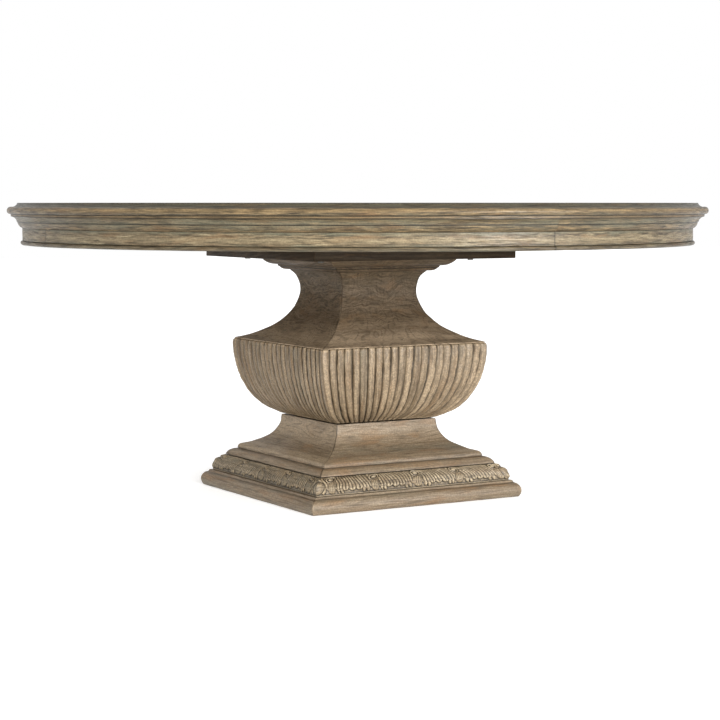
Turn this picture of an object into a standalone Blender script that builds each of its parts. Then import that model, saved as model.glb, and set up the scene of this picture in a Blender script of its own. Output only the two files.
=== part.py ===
"""Round pedestal dining table: a 72 inch round top on a square, urn-shaped pedestal of mitred
panels, which stands on four screw-adjusted levelling glides. Metres, +Z up, with the origin on
the floor below the middle of the top."""

import math

import bmesh
import bpy
from mathutils import Vector

# Driving dimensions
TOP_RADIUS = 0.9145
HEIGHT = 0.7685
GAP = 0.0003

# Levels of the pedestal, from the floor up
PLINTH_BOTTOM = 0.001
CARVED_BOTTOM = 0.0435
STEP_BOTTOM = 0.0875
SPREADER_BOTTOM = 0.105
WAIST = 0.201
BOWL_RIM = 0.404
CORNICE_BOTTOM = 0.591
PLATE_BOTTOM = 0.6255

# Round top
TOP_THICKNESS = 0.022
TOP_PANEL_RADIUS = 0.862
APRON_RADIUS = 0.8757
APRON_WALL = 0.019
RIM_DEPTH = 0.0646
APRON_DEPTH = 0.107
ARC_STEPS = 24

# Frame under the top
PLATE_HALF = 0.300
PLATE_THICKNESS = 0.038
BATTEN_LENGTH = 1.50
BATTEN_WIDTH = 0.070
BATTEN_Y = 0.200
CROSS_RAIL_X = 0.265
CROSS_RAIL_WIDTH = 0.030
BOLT_X = 0.225
BOLT_RADIUS = 0.004
BOLT_LENGTH = 0.075
BOLT_HEAD_RADIUS = 0.009
BOLT_HEAD_HEIGHT = 0.006

# Inside the pedestal
PANEL_WALL = 0.026
POST_HALF = 0.060
POST_WALL = 0.018
BOARD_THICKNESS = 0.012
BASE_BOARD_BOTTOM = 0.016
BASE_BOARD_THICKNESS = 0.018
BASE_BOARD_HALF = 0.2397

# Levelling glides
GLIDE_OFFSET = 0.190
GLIDE_RADIUS = 0.020
GLIDE_HEIGHT = 0.008
GLIDE_BOSS_RADIUS = 0.009
GLIDE_BOSS_HEIGHT = 0.0105
STUD_RADIUS = 0.004
STUD_FOOT = 0.003
STUD_TOP = 0.060
COLLAR_RADIUS = 0.008
COLLAR_HEIGHT = 0.0045
TURNED_STEPS = 12

SIDES = ("right", "back", "left", "front")
QUADRANTS = ("back_right", "back_left", "front_left", "front_right")


def clear_scene():
    for obj in list(bpy.data.objects):
        bpy.data.objects.remove(obj, do_unlink=True)


def new_collection(name):
    collection = bpy.data.collections.new(name)
    bpy.context.scene.collection.children.link(collection)
    return collection


clear_scene()
TABLE = new_collection("round_pedestal_table")
CUTTERS = new_collection("cutters")


def new_material(name, colour, roughness, metallic=0.0):
    material = bpy.data.materials.new(name)
    material.use_nodes = True
    shader = material.node_tree.nodes["Principled BSDF"]
    shader.inputs["Base Color"].default_value = (*colour, 1.0)
    shader.inputs["Roughness"].default_value = roughness
    shader.inputs["Metallic"].default_value = metallic
    return material


TOP_WOOD = new_material("washed_top_wood", (0.30, 0.23, 0.15), 0.45)
RIM_WOOD = new_material("washed_rim_wood", (0.36, 0.27, 0.17), 0.5)
APRON_WOOD = new_material("washed_apron_wood", (0.40, 0.31, 0.20), 0.5)
NECK_WOOD = new_material("figured_neck_wood", (0.20, 0.15, 0.10), 0.55)
BOWL_WOOD = new_material("reeded_bowl_wood", (0.36, 0.28, 0.18), 0.55)
BASE_WOOD = new_material("washed_base_wood", (0.30, 0.23, 0.15), 0.55)
CARVED_WOOD = new_material("carved_wood", (0.28, 0.22, 0.14), 0.6)
DARK_WOOD = new_material("dark_stained_wood", (0.055, 0.035, 0.022), 0.6)
PLAIN_WOOD = new_material("plain_hardwood", (0.45, 0.32, 0.19), 0.7)
STEEL = new_material("zinc_plated_steel", (0.62, 0.62, 0.60), 0.35, 1.0)
PLASTIC = new_material("black_plastic", (0.02, 0.02, 0.02), 0.5)


def arc(start, end, bulge, steps=6):
    """Points on the circular arc that stands bulge off its chord, on the left of the way to its end."""
    start, end = Vector(start), Vector(end)
    chord = end - start
    along = chord.normalized()
    across = Vector((-along.y, along.x)) * math.copysign(1, bulge)
    radius = ((chord.length / 2) ** 2 + bulge**2) / (2 * abs(bulge))
    half_angle = math.asin(min(1.0, chord.length / 2 / radius))
    points = []
    for step in range(steps + 1):
        angle = half_angle * (2 * step / steps - 1)
        rise = radius * (math.cos(angle) - math.cos(half_angle))
        points.append((start + end) / 2 + along * radius * math.sin(angle) + across * rise)
    return points


def flowing(*knots, steps=2):
    """Points on a smooth curve through the knots."""
    knots = [Vector(knot) for knot in knots]
    ends = [2 * knots[0] - knots[1], *knots, 2 * knots[-1] - knots[-2]]
    points = []
    for before, start, end, after in zip(ends, ends[1:], ends[2:], ends[3:]):
        for step in range(steps):
            t = step / steps
            points.append(
                start
                + (end - before) * (t / 2)
                + (2 * before - 5 * start + 4 * end - after) * (t * t / 2)
                + (3 * start - before - 3 * end + after) * (t**3 / 2)
            )
    return [*points, knots[-1]]


def straight(*points):
    return [Vector(point) for point in points]


def with_back_wall(face):
    """A closed outline: a panel's face from top to bottom, and the same points again on its back."""
    return face + [point - Vector((PANEL_WALL, 0)) for point in reversed(face)]


def with_flat_back(face, inner):
    """A closed outline: a moulding's face from top to bottom, and an upright back."""
    return face + straight((inner, face[-1].y), (inner, face[0].y))


def place(name, mesh, material, location=(0, 0, 0), turn=0.0):
    obj = bpy.data.objects.new(name, mesh)
    obj.location = location
    obj.rotation_euler.z = turn
    if not mesh.materials:
        mesh.materials.append(material)
    TABLE.objects.link(obj)
    return obj


def mesh_from(bm, name):
    bmesh.ops.recalc_face_normals(bm, faces=bm.faces)
    mesh = bpy.data.meshes.new(name)
    bm.to_mesh(mesh)
    bm.free()
    mesh.shade_smooth()
    mesh.set_sharp_from_angle(angle=math.radians(30))
    return mesh


def spun_mesh(name, outline, first_angle, sweep, steps):
    """A solid made by turning a closed outline of (radius, height) points about the Z axis."""
    bm = bmesh.new()
    direction = Vector((math.cos(first_angle), math.sin(first_angle)))
    verts = [bm.verts.new((*(direction * radius), height)) for radius, height in outline]
    face = bm.faces.new(verts)
    bmesh.ops.spin(
        bm,
        geom=[face, *face.verts, *face.edges],
        cent=(0, 0, 0),
        axis=(0, 0, 1),
        angle=sweep,
        steps=steps,
    )
    return mesh_from(bm, name)


def round_ring(name, outline, material):
    """Four quarter arcs that meet end to end under the rim of the top."""
    end_gap = GAP / 2 / outline[-1].x
    mesh = spun_mesh(name, outline, end_gap, math.pi / 2 - 2 * end_gap, ARC_STEPS)
    for number, quadrant in enumerate(QUADRANTS):
        place(f"{name}_{quadrant}", mesh, material, turn=number * math.pi / 2)


def square_ring(name, outline, material):
    """Four straight pieces of one section, mitred at the corners. The outline's radii are half-sides."""
    corner_outline = [(half_side * math.sqrt(2), height) for half_side, height in outline]
    mesh = spun_mesh(name, corner_outline, -math.pi / 4, math.pi / 2, 1)
    outwards = GAP / math.sqrt(2)
    for number, side in enumerate(SIDES):
        turn = number * math.pi / 2
        location = (outwards * math.cos(turn), outwards * math.sin(turn), 0)
        place(f"{name}_{side}", mesh, material, location, turn)


def turned(name, profile, material, location):
    """A turned piece on its own upright axis, from a profile that runs from the top to the bottom."""
    mesh = bpy.data.meshes.new(name)
    edges = [(i, i + 1) for i in range(len(profile) - 1)]
    mesh.from_pydata([(radius, 0, height) for radius, height in profile], edges, [])
    obj = place(name, mesh, material, location)
    screw = obj.modifiers.new("turn", "SCREW")
    screw.steps = TURNED_STEPS
    screw.render_steps = TURNED_STEPS
    screw.use_merge_vertices = True
    screw.merge_threshold = 0.0001
    return obj


def box_mesh(name, half_x, half_y, height):
    bm = bmesh.new()
    bmesh.ops.create_cube(bm, size=1.0)
    bmesh.ops.scale(bm, vec=(2 * half_x, 2 * half_y, height), verts=bm.verts)
    return mesh_from(bm, name)


def cylinder_mesh(name, radius, height, segments):
    bm = bmesh.new()
    bmesh.ops.create_cone(
        bm, cap_ends=True, segments=segments, radius1=radius, radius2=radius, depth=height
    )
    return mesh_from(bm, name)


def board(name, half_x, half_y, bottom, top, material, centre=(0, 0)):
    """A rectangular piece of timber between two heights."""
    mesh = box_mesh(name, half_x, half_y, top - bottom)
    return place(name, mesh, material, (*centre, (bottom + top) / 2))


def new_cutter(name, mesh, location):
    cutter = bpy.data.objects.new(name, mesh)
    cutter.location = location
    cutter.hide_render = True
    cutter.display_type = "WIRE"
    CUTTERS.objects.link(cutter)
    return cutter


def cut(obj, cutter):
    boolean = obj.modifiers.new(cutter.name, "BOOLEAN")
    boolean.operation = "DIFFERENCE"
    boolean.object = cutter


def round_cutters(name, radius, places, bottom, top):
    mesh = cylinder_mesh(name, radius, top - bottom, TURNED_STEPS)
    middle = (bottom + top) / 2
    return [
        new_cutter(f"{name}_{number}", mesh, (x, y, middle)) for number, (x, y) in enumerate(places)
    ]


def corners(x, y):
    """The four places (+-x, +-y), in the order of the quadrants."""
    return ((x, y), (-x, y), (-x, -y), (x, -y))


def make_top_panel():
    mesh = cylinder_mesh("top_panel", TOP_PANEL_RADIUS, TOP_THICKNESS, 4 * ARC_STEPS)
    place("top_panel", mesh, TOP_WOOD, (0, 0, HEIGHT - TOP_THICKNESS / 2))


def make_edge_mouldings():
    """Rim of the top: a cavetto below the flat, then a bead, a fillet, a cove and an ovolo."""
    cavetto = arc((0.8873, HEIGHT), (0.9030, HEIGHT - 0.0095), -0.0034, steps=4)
    bead = arc((0.9032, HEIGHT - 0.0098), (TOP_RADIUS - 0.0047, HEIGHT - 0.0276), 0.0080)
    fillet = straight((0.9047, HEIGHT - 0.0284), (0.9043, HEIGHT - 0.0347))
    cove = arc((0.9018, HEIGHT - 0.0353), (0.8896, HEIGHT - 0.0482), -0.0027, steps=3)
    ovolo = arc((0.8878, HEIGHT - 0.0490), (0.8768, HEIGHT - RIM_DEPTH), 0.0022, steps=3)
    face = cavetto + bead + fillet + cove + ovolo
    round_ring("edge_moulding", with_flat_back(face, TOP_PANEL_RADIUS + GAP), RIM_WOOD)


def make_aprons():
    """A plain frieze with a bead along its lower edge."""
    frieze = straight(
        (APRON_RADIUS, HEIGHT - RIM_DEPTH - GAP),
        (APRON_RADIUS, HEIGHT - APRON_DEPTH + 0.0115),
        (APRON_RADIUS - 0.0010, HEIGHT - APRON_DEPTH + 0.0106),
    )
    foot = HEIGHT - APRON_DEPTH
    bead = arc((APRON_RADIUS + 0.0010, foot + 0.0102), (APRON_RADIUS + 0.0012, foot), 0.0067, steps=4)
    round_ring("apron", with_flat_back(frieze + bead, APRON_RADIUS - APRON_WALL), APRON_WOOD)


def make_top_frame():
    """The plate on the pedestal's head, the timbers between it and the top, and the bolts that join them."""
    plate_top = PLATE_BOTTOM + PLATE_THICKNESS
    plate = board("mounting_plate", PLATE_HALF, PLATE_HALF, PLATE_BOTTOM, plate_top, DARK_WOOD)
    timber_bottom = plate_top + GAP
    timber_top = HEIGHT - TOP_THICKNESS - GAP
    battens = [
        board(
            f"batten_{side}",
            BATTEN_LENGTH / 2,
            BATTEN_WIDTH / 2,
            timber_bottom,
            timber_top,
            PLAIN_WOOD,
            (0, y),
        )
        for side, y in (("back", BATTEN_Y), ("front", -BATTEN_Y))
    ]
    between = BATTEN_Y - BATTEN_WIDTH / 2 - GAP
    for side, x in (("right", CROSS_RAIL_X), ("left", -CROSS_RAIL_X)):
        half_width = CROSS_RAIL_WIDTH / 2
        board(f"cross_rail_{side}", half_width, between, timber_bottom, timber_top, PLAIN_WOOD, (x, 0))

    places = corners(BOLT_X, BATTEN_Y)
    seat = PLATE_BOTTOM - GAP
    bolt_end = seat + BOLT_LENGTH
    holes = round_cutters(
        "bolt_hole", BOLT_RADIUS + GAP, places, PLATE_BOTTOM - BOLT_HEAD_HEIGHT, bolt_end + GAP
    )
    for hole in holes:
        cut(plate, hole)
        cut(battens[0] if hole.location.y > 0 else battens[1], hole)
    profile = (
        (0, bolt_end),
        (BOLT_RADIUS, bolt_end),
        (BOLT_RADIUS, seat),
        (BOLT_HEAD_RADIUS, seat),
        (BOLT_HEAD_RADIUS, seat - BOLT_HEAD_HEIGHT / 2),
        (BOLT_HEAD_RADIUS - 0.002, seat - BOLT_HEAD_HEIGHT),
        (0, seat - BOLT_HEAD_HEIGHT),
    )
    for quadrant, (x, y) in zip(QUADRANTS, places):
        turned(f"mounting_bolt_{quadrant}", profile, STEEL, (x, y, 0))


def make_cornice():
    """An ovolo under the plate, a fillet and a small lower ovolo, down to the neck."""
    top = PLATE_BOTTOM - GAP
    ovolo = arc((0.1910, top), (0.1578, 0.6050), 0.0065)
    lower_ovolo = arc((0.1535, 0.5985), (0.1400, CORNICE_BOTTOM + GAP), 0.0020, steps=3)
    face = ovolo + straight((0.1560, 0.6000)) + lower_ovolo
    square_ring("cornice", with_flat_back(face, 0.104), NECK_WOOD)


def make_neck():
    """A deep scotia that flares down to the rim of the bowl."""
    face = flowing(
        (0.1330, CORNICE_BOTTOM),
        (0.1195, 0.5730),
        (0.1128, 0.5410),
        (0.1182, 0.5100),
        (0.1330, 0.4780),
        (0.1620, 0.4460),
        (0.2070, 0.4190),
        (0.2440, BOWL_RIM + 0.0025),
    )
    square_ring("neck_panel", with_back_wall(face + straight((0.2440, BOWL_RIM + GAP))), NECK_WOOD)


def make_bowl():
    """Urn-shaped body, widest just under its rim."""
    face = flowing(
        (0.2475, BOWL_RIM),
        (0.2485, 0.3870),
        (0.2460, 0.3550),
        (0.2363, 0.3070),
        (0.2155, 0.2590),
        (0.1888, 0.2265),
        (0.1525, 0.2045),
    )
    square_ring("bowl_panel", with_back_wall(face + straight((0.1505, WAIST + GAP))), BOWL_WOOD)


def make_spreader():
    """A hollow-sided foot below the waist, with a rounded lower lip."""
    face = flowing(
        (0.1502, WAIST),
        (0.1557, 0.1725),
        (0.1745, 0.1455),
        (0.2080, 0.1265),
        (0.2330, 0.1180),
    )
    lip = arc((0.2345, 0.1172), (0.2388, SPREADER_BOTTOM + GAP), 0.0018, steps=3)
    square_ring("spreader_panel", with_back_wall(face + lip), BASE_WOOD)


def make_step():
    face = arc((0.2395, SPREADER_BOTTOM), (0.2630, STEP_BOTTOM + 0.0010), 0.0045)
    face += straight((0.2630, STEP_BOTTOM + GAP))
    square_ring("step_moulding", with_flat_back(face, 0.213), BASE_WOOD)


def make_carved_moulding():
    face = arc((0.2640, STEP_BOTTOM), (0.2910, CARVED_BOTTOM + GAP), 0.0100, steps=8)
    square_ring("carved_moulding", with_flat_back(face, 0.236), CARVED_WOOD)


def make_plinth():
    """A fillet and a small hollow over a bullnose that almost reaches the floor."""
    fillet = straight((0.2966, CARVED_BOTTOM), (0.2975, CARVED_BOTTOM - 0.0020))
    hollow = arc((0.2978, 0.0412), (0.3005, 0.0380), -0.0006, steps=2)
    bullnose = arc((0.3040, 0.0370), (0.3085, PLINTH_BOTTOM), 0.0078, steps=8)
    face = fillet + hollow + bullnose
    square_ring("plinth_rail", with_flat_back(face, BASE_BOARD_HALF + GAP), BASE_WOOD)


def make_core():
    """What the mitred shells are built around: a hollow post from the base board up to the plate."""
    post_bottom = BASE_BOARD_BOTTOM + BASE_BOARD_THICKNESS + GAP
    post_top = PLATE_BOTTOM - GAP
    post = board("core_post", POST_HALF, POST_HALF, post_bottom, post_top, PLAIN_WOOD)
    bore_half = POST_HALF - POST_WALL
    bore = new_cutter("post_bore", box_mesh("post_bore", bore_half, bore_half, 2 * HEIGHT), (0, 0, 0))
    cut(post, bore)

    through_half = POST_HALF + GAP
    through = new_cutter(
        "post_way", box_mesh("post_way", through_half, through_half, 2 * HEIGHT), (0, 0, 0)
    )
    for name, half, bottom in (
        ("rim_board", 0.2210, BOWL_RIM - BOARD_THICKNESS),
        ("waist_board", 0.1240, WAIST + GAP),
    ):
        cut(board(name, half, half, bottom, bottom + BOARD_THICKNESS, PLAIN_WOOD), through)


def make_base_board():
    """The board inside the plinth that the four levelling glides screw into."""
    half = BASE_BOARD_HALF
    top = BASE_BOARD_BOTTOM + BASE_BOARD_THICKNESS
    base = board("base_board", half, half, BASE_BOARD_BOTTOM, top, PLAIN_WOOD)
    places = corners(GLIDE_OFFSET, GLIDE_OFFSET)
    for hole in round_cutters("stud_hole", STUD_RADIUS + GAP, places, 0, 2 * top):
        cut(base, hole)


def make_glides():
    """A round foot on the floor, and the collared stud that turns in its socket to raise the table."""
    socket = STUD_RADIUS + GAP
    foot_profile = (
        (0, STUD_FOOT),
        (socket, STUD_FOOT),
        (socket, GLIDE_BOSS_HEIGHT),
        (GLIDE_BOSS_RADIUS, GLIDE_BOSS_HEIGHT),
        (GLIDE_BOSS_RADIUS, GLIDE_HEIGHT),
        (GLIDE_RADIUS - 0.0015, GLIDE_HEIGHT),
        (GLIDE_RADIUS, GLIDE_HEIGHT - 0.0015),
        (GLIDE_RADIUS, 0.001),
        (GLIDE_RADIUS - 0.001, 0),
        (0, 0),
    )
    collar_bottom = GLIDE_BOSS_HEIGHT + GAP
    collar_top = collar_bottom + COLLAR_HEIGHT
    stud_profile = (
        (0, STUD_TOP),
        (STUD_RADIUS - 0.001, STUD_TOP),
        (STUD_RADIUS, STUD_TOP - 0.001),
        (STUD_RADIUS, collar_top),
        (COLLAR_RADIUS, collar_top),
        (COLLAR_RADIUS, collar_bottom),
        (STUD_RADIUS, collar_bottom),
        (STUD_RADIUS, STUD_FOOT + GAP),
        (0, STUD_FOOT + GAP),
    )
    for quadrant, (x, y) in zip(QUADRANTS, corners(GLIDE_OFFSET, GLIDE_OFFSET)):
        turned(f"glide_foot_{quadrant}", foot_profile, PLASTIC, (x, y, 0))
        turned(f"glide_stud_{quadrant}", stud_profile, STEEL, (x, y, 0))


make_top_panel()
make_edge_mouldings()
make_aprons()
make_top_frame()
make_cornice()
make_neck()
make_bowl()
make_spreader()
make_step()
make_carved_moulding()
make_plinth()
make_core()
make_base_board()
make_glides()
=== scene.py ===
import math

import bmesh
import bpy
import numpy as np
from mathutils import Matrix, Vector


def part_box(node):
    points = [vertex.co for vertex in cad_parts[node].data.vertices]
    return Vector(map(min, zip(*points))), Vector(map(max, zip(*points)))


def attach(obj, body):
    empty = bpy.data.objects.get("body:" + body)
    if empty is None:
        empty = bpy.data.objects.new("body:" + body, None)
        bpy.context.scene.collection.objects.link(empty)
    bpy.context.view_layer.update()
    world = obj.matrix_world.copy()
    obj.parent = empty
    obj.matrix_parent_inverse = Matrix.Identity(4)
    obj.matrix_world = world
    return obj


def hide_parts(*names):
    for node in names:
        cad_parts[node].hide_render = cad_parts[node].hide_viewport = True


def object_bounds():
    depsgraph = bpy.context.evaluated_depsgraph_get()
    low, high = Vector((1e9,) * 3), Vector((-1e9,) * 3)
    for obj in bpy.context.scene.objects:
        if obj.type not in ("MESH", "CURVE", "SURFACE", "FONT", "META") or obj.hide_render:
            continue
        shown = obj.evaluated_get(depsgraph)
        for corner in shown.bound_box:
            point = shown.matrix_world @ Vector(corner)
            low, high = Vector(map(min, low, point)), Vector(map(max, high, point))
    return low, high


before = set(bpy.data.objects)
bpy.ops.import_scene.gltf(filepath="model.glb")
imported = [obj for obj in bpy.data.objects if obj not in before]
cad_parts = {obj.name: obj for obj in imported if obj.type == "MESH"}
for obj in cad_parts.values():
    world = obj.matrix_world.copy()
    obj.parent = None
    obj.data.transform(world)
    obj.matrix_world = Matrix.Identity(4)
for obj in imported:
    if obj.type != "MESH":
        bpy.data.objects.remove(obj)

# Looks of the round pedestal table: limed and glazed hardwood, a reeded bowl and a carved base band.
# Outlines are in metres, as (radius or half-side, height), and run down a moulding's visible face.

CAD_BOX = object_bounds()
HEIGHT = CAD_BOX[1][2]
SIDES = ("right", "back", "left", "front")
QUADRANTS = ("back_right", "back_left", "front_left", "front_right")
QUARTER = math.pi / 2
JOINT_GAP = 0.0003
PANEL_WALL = 0.026
RIM_INNER = 0.8623
APRON_INNER = 0.8567
CORNICE_INNER = 0.104
STEP_INNER = 0.213
CARVED_INNER = 0.236
PLINTH_INNER = 0.240

# Planks of the top
PLANKS = 12
PLANK_SLACK = 0.0002
PLANK_EASE = 0.0008
PLANK_WAVE = 0.00012

# Reeds of the bowl, measured along its widest level
BOWL_HALF_SIDE = 0.2485
CORNER_REEDS = (0.0185, 0.0205)
MIDDLE_REEDS = 18
REED_DEPTH = 0.0052
REED_SAMPLES = (0, 0.03, 0.08, 0.16, 0.3, 0.5, 0.7, 0.84, 0.92, 0.97)

# Carved band. A unit runs from one scroll to the next, and holes and leaf tips are placed as shares of it
CARVED_LENGTH = 0.555
CARVED_UNITS = 5
UNIT_PITCH = 0.222 * CARVED_LENGTH
FIRST_SCROLL = 0.0653 * CARVED_LENGTH
CARVED_DEPTH = 0.0044
CARVED_LIP = 0.0016
LIP_HEIGHT = 0.0018
PLEATS = 13
PLEAT_HEIGHT = 0.0027
SCALLOPS = 6
TIP_HEIGHT = 0.0034
SCROLL_HEIGHT = 0.0045
BOSS_HEIGHT = 0.0046
DRILLED_HOLES = (0.165, 0.250, 0.345, 0.715, 0.805, 0.895)

# Fasteners and glides
THREAD_PITCH = 0.00125
THREAD_DEPTH = 0.00065
STUD_RADIUS = 0.004
HEAD_ACROSS_FLATS = 0.0128
COLLAR_ACROSS_FLATS = 0.013
FOOT_RIBS = 24
FOOT_RIB_DEPTH = 0.0006

# How much darker a surface is painted than it has to look, because the studio's light is bright
STUDIO_DIMMING = 0.72


# ---------------------------------------------------------------- outlines


def arc(start, end, bulge, steps=10):
    """Points on the circular arc that stands bulge off its chord, on the left of the way to its end."""
    start, end = np.array(start, float), np.array(end, float)
    chord = end - start
    length = np.linalg.norm(chord)
    along = chord / length
    across = np.array((-along[1], along[0])) * np.sign(bulge)
    radius = ((length / 2) ** 2 + bulge**2) / (2 * abs(bulge))
    half_angle = math.asin(min(1.0, length / 2 / radius))
    angles = np.linspace(-half_angle, half_angle, steps + 1)[:, None]
    rise = radius * (np.cos(angles) - math.cos(half_angle))
    return (start + end) / 2 + along * radius * np.sin(angles) + across * rise


def flowing(*knots, steps=8):
    """Points on a smooth curve through the knots."""
    knots = np.array(knots, float)
    ends = np.vstack([2 * knots[0] - knots[1], knots, 2 * knots[-1] - knots[-2]])
    t = np.linspace(0, 1, steps, endpoint=False)[:, None]
    runs = [
        start
        + (end - before) * (t / 2)
        + (2 * before - 5 * start + 4 * end - after) * (t * t / 2)
        + (3 * start - before - 3 * end + after) * (t**3 / 2)
        for before, start, end, after in zip(ends, ends[1:], ends[2:], ends[3:])
    ]
    return np.vstack([*runs, knots[-1]])


def straight(*points):
    return np.array(points, float)


def run_lengths(points):
    return np.concatenate([[0], np.cumsum(np.linalg.norm(np.diff(points, axis=0), axis=1))])


def even(points, spacing):
    """The same outline with its long stretches divided, so that no step is longer than the spacing."""
    dense = [points[0]]
    for start, end in zip(points, points[1:]):
        parts = max(1, math.ceil(np.linalg.norm(end - start) / spacing))
        dense += [start + (end - start) * k / parts for k in range(1, parts + 1)]
    return np.array(dense)


class Face:
    """A moulding's visible face, from top to bottom, in bands of (points, stain, wash).

    Stain is how dark the band is, from 0 to 1. Wash is its finish from -1, worn back to pale wood,
    to 1, grey glaze, as one value or several spread down the band; on the neck it is painted light and
    painted shade. Thin dark lines, partly glaze in the crease and partly painted shade, lie where bands
    meet and along the face's own two edges, each of the strength given for it."""

    LINE_WIDTH = 0.0010

    def __init__(self, *bands, spacing=0.004, edges=(0.3, 0.3), crease_lines=1.0):
        runs, washes_and_shading, lines = [], [], []
        for number, (points, stain, *wash_and_shading) in enumerate(bands):
            points = even(points, spacing)
            run = run_lengths(points)
            runs.append(points)
            washes_and_shading.append(np.interp(run / run[-1], np.linspace(0, 1, len(wash_and_shading)), wash_and_shading))
            # Dark lines at the band's ends, partly glaze in the crease and partly painted shade.
            above = edges[0] if number == 0 else crease_lines
            below = edges[1] if number == len(bands) - 1 else crease_lines
            line = above * np.exp(-((run / self.LINE_WIDTH) ** 2))
            line += below * np.exp(-(((run[-1] - run) / self.LINE_WIDTH) ** 2))
            lines.append(np.clip(line + stain, 0, 1))
        self.points = np.vstack(runs)
        self.wash_and_shading = np.concatenate(washes_and_shading)
        self.line = np.concatenate(lines)
        self.run = run_lengths(self.points)
        ways = np.gradient(self.points, axis=0)
        ways /= np.maximum(np.linalg.norm(ways, axis=1), 1e-9)[:, None]
        self.outwards = np.stack([-ways[:, 1], ways[:, 0]], axis=1)


def back_wall(face):
    """A panel's back: its face again, a wall's thickness inside, from bottom to top."""
    return face.points[::-4] - np.array((PANEL_WALL, 0))


def flat_back(face, inner):
    return straight((inner, face.points[-1][1]), (inner, face.points[0][1]))


def ripple(along, across, length, width, seed):
    """Smooth unevenness of about unit height, its swells about length by width."""
    rng = np.random.default_rng(seed)
    total = 0
    for _ in range(14):
        turn, phase = rng.uniform(0, 2 * math.pi, 2)
        rate = rng.uniform(2, 7)
        total = total + np.sin(
            rate * (math.cos(turn) * along / length + math.sin(turn) * across / width) + phase
        )
    return total / math.sqrt(7)


# ---------------------------------------------------------------- meshes


def store(mesh, name, kind, values):
    attribute = mesh.attributes.new(name, kind, "POINT")
    field = "vector" if kind == "FLOAT_VECTOR" else "value"
    attribute.data.foreach_set(field, np.ascontiguousarray(values, np.float32).ravel())


def grid_faces(columns, rows):
    """Quads between neighbouring columns, whose rows go round a closed outline."""
    numbers = np.arange(columns * rows).reshape(columns, rows)
    before, after = numbers[:-1], numbers[1:]
    quads = np.stack([before, np.roll(before, -1, 1), np.roll(after, -1, 1), after], axis=-1)
    return quads.reshape(-1, 4).tolist()


def grain_seed(name):
    """A depth into the grain's noise that differs from piece to piece."""
    return sum(map(ord, name)) * 0.37


def finish_mesh(mesh, sharp_degrees):
    mesh.shade_smooth()
    mesh.set_sharp_from_angle(angle=math.radians(sharp_degrees))
    return mesh


def show(name, mesh, material, body, node):
    """Puts a piece in the scene, in place of a CAD node or a part of it, and moving with a body."""
    piece = bpy.data.objects.new(name, mesh)
    bpy.context.scene.collection.objects.link(piece)
    mesh.materials.clear()
    mesh.materials.append(material)
    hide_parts(node)
    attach(piece, body)


def arc_place(quadrant):
    """Places stations from 0 to 1 along a quarter of the round rim."""

    def place(stations, radii, heights):
        end_gap = JOINT_GAP / 2 / radii
        angles = quadrant * QUARTER + end_gap + stations * (QUARTER - 2 * end_gap)
        return np.stack([radii * np.cos(angles), radii * np.sin(angles), heights], axis=-1)

    return place


def side_place(side):
    """Places stations from -1 to 1 along a mitred side of the square pedestal."""
    turn = side * QUARTER
    cos, sin = round(math.cos(turn)), round(math.sin(turn))

    def place(stations, radii, heights):
        out = radii + JOINT_GAP / math.sqrt(2)
        along = radii * stations
        return np.stack([out * cos - along * sin, out * sin + along * cos, heights], axis=-1)

    return place


def swept(name, face, back, stations, place, length, relief=None, wash_and_shading=0, line=0, upright=False):
    """A solid swept along a rim or a side, with its face raised by the relief and its finish stored."""
    columns, face_rows = len(stations), len(face.points)
    outline = np.vstack([face.points, back])
    rows = len(outline)
    radii = np.tile(outline[:, 0], (columns, 1))
    heights = np.tile(outline[:, 1], (columns, 1))
    if relief is not None:
        radii[:, :face_rows] += relief * face.outwards[:, 0]
        heights[:, :face_rows] += relief * face.outwards[:, 1]
    if stations.ndim == 1:
        stations = np.tile(stations[:, None], (1, rows))
    else:
        stations = np.hstack([stations, np.tile(stations[:, -1:], (1, rows - face_rows))])
    points = place(stations, radii, heights)
    quads = grid_faces(columns, rows)
    caps = [list(range(rows))[::-1], [(columns - 1) * rows + row for row in range(rows)]]
    mesh = bpy.data.meshes.new(name)
    mesh.from_pydata(points.reshape(-1, 3).tolist(), [], quads + caps)

    along = stations * length
    across = np.tile(run_lengths(outline), (columns, 1))
    seed = np.full_like(along, grain_seed(name))
    parts = (across, along, seed) if upright else (along, across, seed)
    store(mesh, "grain", "FLOAT_VECTOR", np.stack(parts, axis=-1))
    for attribute, base, more in (("wash_and_shading", face.wash_and_shading, wash_and_shading), ("line", face.line, line)):
        values = np.zeros((columns, rows))
        values[:, :face_rows] = base + more
        store(mesh, attribute, "FLOAT", values)
    return mesh


def revolved(name, profile, columns, reshape=None):
    """A turned solid, from a profile that runs from the axis at the top to the axis at the bottom."""
    profile = np.array(profile, float)
    angles = np.tile(np.linspace(0, 2 * math.pi, columns, endpoint=False)[:, None], (1, len(profile)))
    radii = np.tile(profile[:, 0], (columns, 1))
    heights = np.tile(profile[:, 1], (columns, 1))
    if reshape is not None:
        radii = reshape(angles, radii, heights)
    points = np.stack([radii * np.cos(angles), radii * np.sin(angles), heights], axis=-1)
    numbers = np.arange(columns * len(profile)).reshape(columns, -1)
    after = np.roll(numbers, -1, axis=0)
    quads = np.stack([numbers[:, :-1], numbers[:, 1:], after[:, 1:], after[:, :-1]], axis=-1)
    bm = bmesh.new()
    verts = [bm.verts.new(point) for point in points.reshape(-1, 3)]
    for quad in quads.reshape(-1, 4):
        bm.faces.new([verts[number] for number in quad])
    bmesh.ops.remove_doubles(bm, verts=bm.verts, dist=1e-6)
    mesh = bpy.data.meshes.new(name)
    bm.to_mesh(mesh)
    bm.free()
    return mesh


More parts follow.
